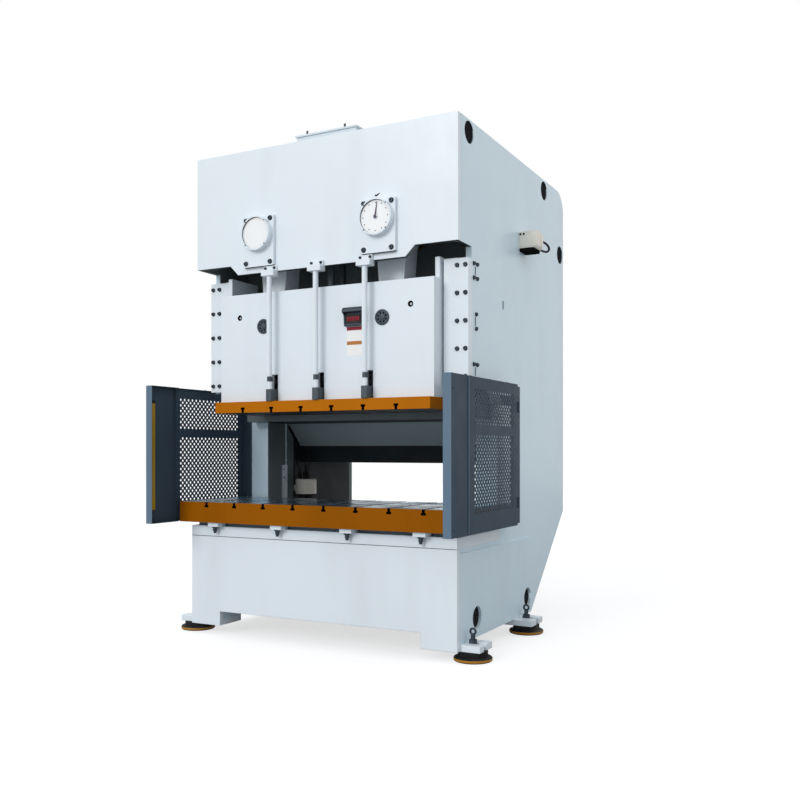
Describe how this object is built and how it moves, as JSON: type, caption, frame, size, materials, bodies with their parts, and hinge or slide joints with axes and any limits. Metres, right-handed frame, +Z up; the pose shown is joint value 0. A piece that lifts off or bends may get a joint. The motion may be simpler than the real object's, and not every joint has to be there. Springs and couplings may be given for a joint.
{
  "type": "mechanical stamping press",
  "caption": "Gap-frame mechanical stamping press with a twin-crank drive, sliding ram, T-slotted bolster and swinging perforated side guards.",
  "frame": {"origin": "on the floor, under the middle of the bounding box", "axes": "+X to the right seen from the front, +Y from the front to the back, +Z up"},
  "size_m": [3.004, 3.083, 4.337],
  "materials": {
    "white_paint": "semi-gloss white enamel",
    "side_paint": "semi-gloss light gray-blue enamel",
    "inner_paint": "matt gray primer, dark inside the frame",
    "guard_paint": "satin slate gray enamel",
    "orange_paint": "satin orange-brown enamel",
    "bare_steel": "machined and lightly oiled",
    "dark_steel": "blackened screws and fittings",
    "cast_dark": "painted dark gray casting",
    "bronze": "turned bearing bronze",
    "pad_rubber": "ochre rubber and pressed steel pad",
    "plug_plastic": "black moulded plug",
    "curtain_yellow": "yellow enamel profile",
    "cream_paint": "cream enamel box",
    "cable_sheath": "dark cable sheath",
    "belt_rubber": "black belt rubber",
    "motor_paint": "blue-gray enamel casting",
    "pointer_paint": "dark purple enamel"
  },
  "bodies": {
    "frame": {"side_frame_left": "side_paint", "side_frame_right": "side_paint", "crown_front_plate": "white_paint", "crown_mid_plate": "inner_paint", "crown_rear_plate": "inner_paint", "drive_support_plate": "inner_paint", "crown_top_plate": "white_paint", "throat_web": "inner_paint", "bed_front_plate": "white_paint", "bed_table_plate": "white_paint", "bed_cross_plates": "side_paint", "foot_plates": "side_paint", "levelling_pads": "pad_rubber", "levelling_studs": "dark_steel", "lift_hole_plugs": "plug_plastic", "bolster": "orange_paint", "bolster_clamps": "white_paint", "clamp_bolts": "dark_steel", "guide_blocks": "bare_steel", "gib_plates": "white_paint", "gib_bolts": "dark_steel", "frame_bolts": "dark_steel", "shaft_cover_left": "white_paint", "dial_housing": "white_paint", "stop_brackets": "white_paint", "stop_rods": "white_paint", "guard_posts": "guard_paint", "balance_cylinders": "bare_steel", "junction_box": "cream_paint", "junction_cable": "cable_sheath", "top_cover": "side_paint", "bearing_bushes": "bronze", "motor": "motor_paint", "v_belts": "belt_rubber", "lubricator": "cream_paint"},
    "seats": {"ball_seats": "bronze"},
    "slide": {"slide_body": "white_paint", "slide_plate": "orange_paint", "slide_vents": "dark_steel", "counter_hood": "dark_steel", "balance_rods": "bare_steel"},
    "knockout_left": {"knockout_bar_left": "bare_steel"},
    "knockout_middle": {"knockout_bar_middle": "bare_steel"},
    "knockout_right": {"knockout_bar_right": "bare_steel"},
    "crank_left": {"crankshaft_left": "bare_steel", "main_gear_left": "bare_steel"},
    "crank_right": {"crankshaft_right": "bare_steel", "main_gear_right": "bare_steel", "dial_pointer": "pointer_paint"},
    "rod_left": {"connecting_rod_left": "white_paint"},
    "rod_right": {"connecting_rod_right": "white_paint"},
    "pinion": {"pinion_shaft": "bare_steel"},
    "flywheel": {"flywheel": "cast_dark"},
    "motor_pulley": {"motor_pulley": "cast_dark"},
    "guard_left": {"guard_frame_left": "guard_paint", "guard_mesh_left": "guard_paint", "light_curtain_left": "curtain_yellow"},
    "guard_right": {"guard_frame_right": "guard_paint", "guard_mesh_right": "guard_paint", "light_curtain_right": "curtain_yellow"}
  },
  "joints": [
    {"name": "crank_right_turn", "type": "hinge", "parent": "frame", "child": "crank_right", "pos_m": [0.585, -0.2265, 3.465], "axis": [0, 1, 0], "range_deg": [0, 180]},
    {"name": "crank_left_turn", "type": "hinge", "parent": "frame", "child": "crank_left", "pos_m": [-0.585, -0.2265, 3.465], "axis": [0, 1, 0], "range_deg": [-180, 0]},
    {"name": "rod_right_swing", "type": "hinge", "parent": "crank_right", "child": "rod_right", "pos_m": [0.585, -0.7615, 3.605], "axis": [0, 1, 0], "range_deg": [-180, 0]},
    {"name": "rod_left_swing", "type": "hinge", "parent": "crank_left", "child": "rod_left", "pos_m": [-0.585, -0.7615, 3.605], "axis": [0, 1, 0], "range_deg": [0, 180]},
    {"name": "pinion_turn", "type": "hinge", "parent": "frame", "child": "pinion", "pos_m": [0.2475, -0.2265, 2.88043], "axis": [0, 1, 0], "range_deg": [-1170, 0]},
    {"name": "slide_stroke", "type": "slide", "parent": "frame", "child": "seats", "axis": [0, 0, -1], "range_m": [0, 0.28]},
    {"name": "die_height_adjust", "type": "slide", "parent": "seats", "child": "slide", "axis": [0, 0, -1], "range_m": [0, 0.12]},
    {"name": "flywheel_spin", "type": "hinge", "parent": "frame", "child": "flywheel", "pos_m": [0.2475, 0.8585, 2.88043], "axis": [0, 1, 0], "continuous": true},
    {"name": "motor_pulley_spin", "type": "hinge", "parent": "frame", "child": "motor_pulley", "pos_m": [-0.65, 0.8585, 3.75], "axis": [0, 1, 0], "continuous": true},
    {"name": "guard_right_swing", "type": "hinge", "parent": "frame", "child": "guard_right", "pos_m": [1.436, -0.1885, 1.576], "axis": [0, 0, 1], "range_deg": [0, 90]},
    {"name": "guard_left_swing", "type": "hinge", "parent": "frame", "child": "guard_left", "pos_m": [-1.436, -0.1885, 1.576], "axis": [0, 0, -1], "range_deg": [0, 90]},
    {"name": "knockout_left_lift", "type": "slide", "parent": "slide", "child": "knockout_left", "axis": [0, 0, 1], "range_m": [0, 0.07]},
    {"name": "knockout_middle_lift", "type": "slide", "parent": "slide", "child": "knockout_middle", "axis": [0, 0, 1], "range_m": [0, 0.07]},
    {"name": "knockout_right_lift", "type": "slide", "parent": "slide", "child": "knockout_right", "axis": [0, 0, 1], "range_m": [0, 0.07]}
  ],
  "couplings": [
    {"joint": "crank_left_turn", "follows": "crank_right_turn", "ratio": -1},
    {"joint": "rod_right_swing", "follows": "crank_right_turn", "ratio": -1},
    {"joint": "rod_left_swing", "follows": "crank_right_turn", "ratio": 1},
    {"joint": "pinion_turn", "follows": "crank_right_turn", "ratio": -6.5},
    {"joint": "slide_stroke", "follows": "crank_right_turn", "m_per_rad": 0.089127},
    {"joint": "motor_pulley_spin", "follows": "flywheel_spin", "ratio": 4.8},
    {"joint": "knockout_left_lift", "follows": "crank_right_turn", "m_per_rad": 0.022282},
    {"joint": "knockout_middle_lift", "follows": "crank_right_turn", "m_per_rad": 0.022282},
    {"joint": "knockout_right_lift", "follows": "crank_right_turn", "m_per_rad": 0.022282}
  ]
}
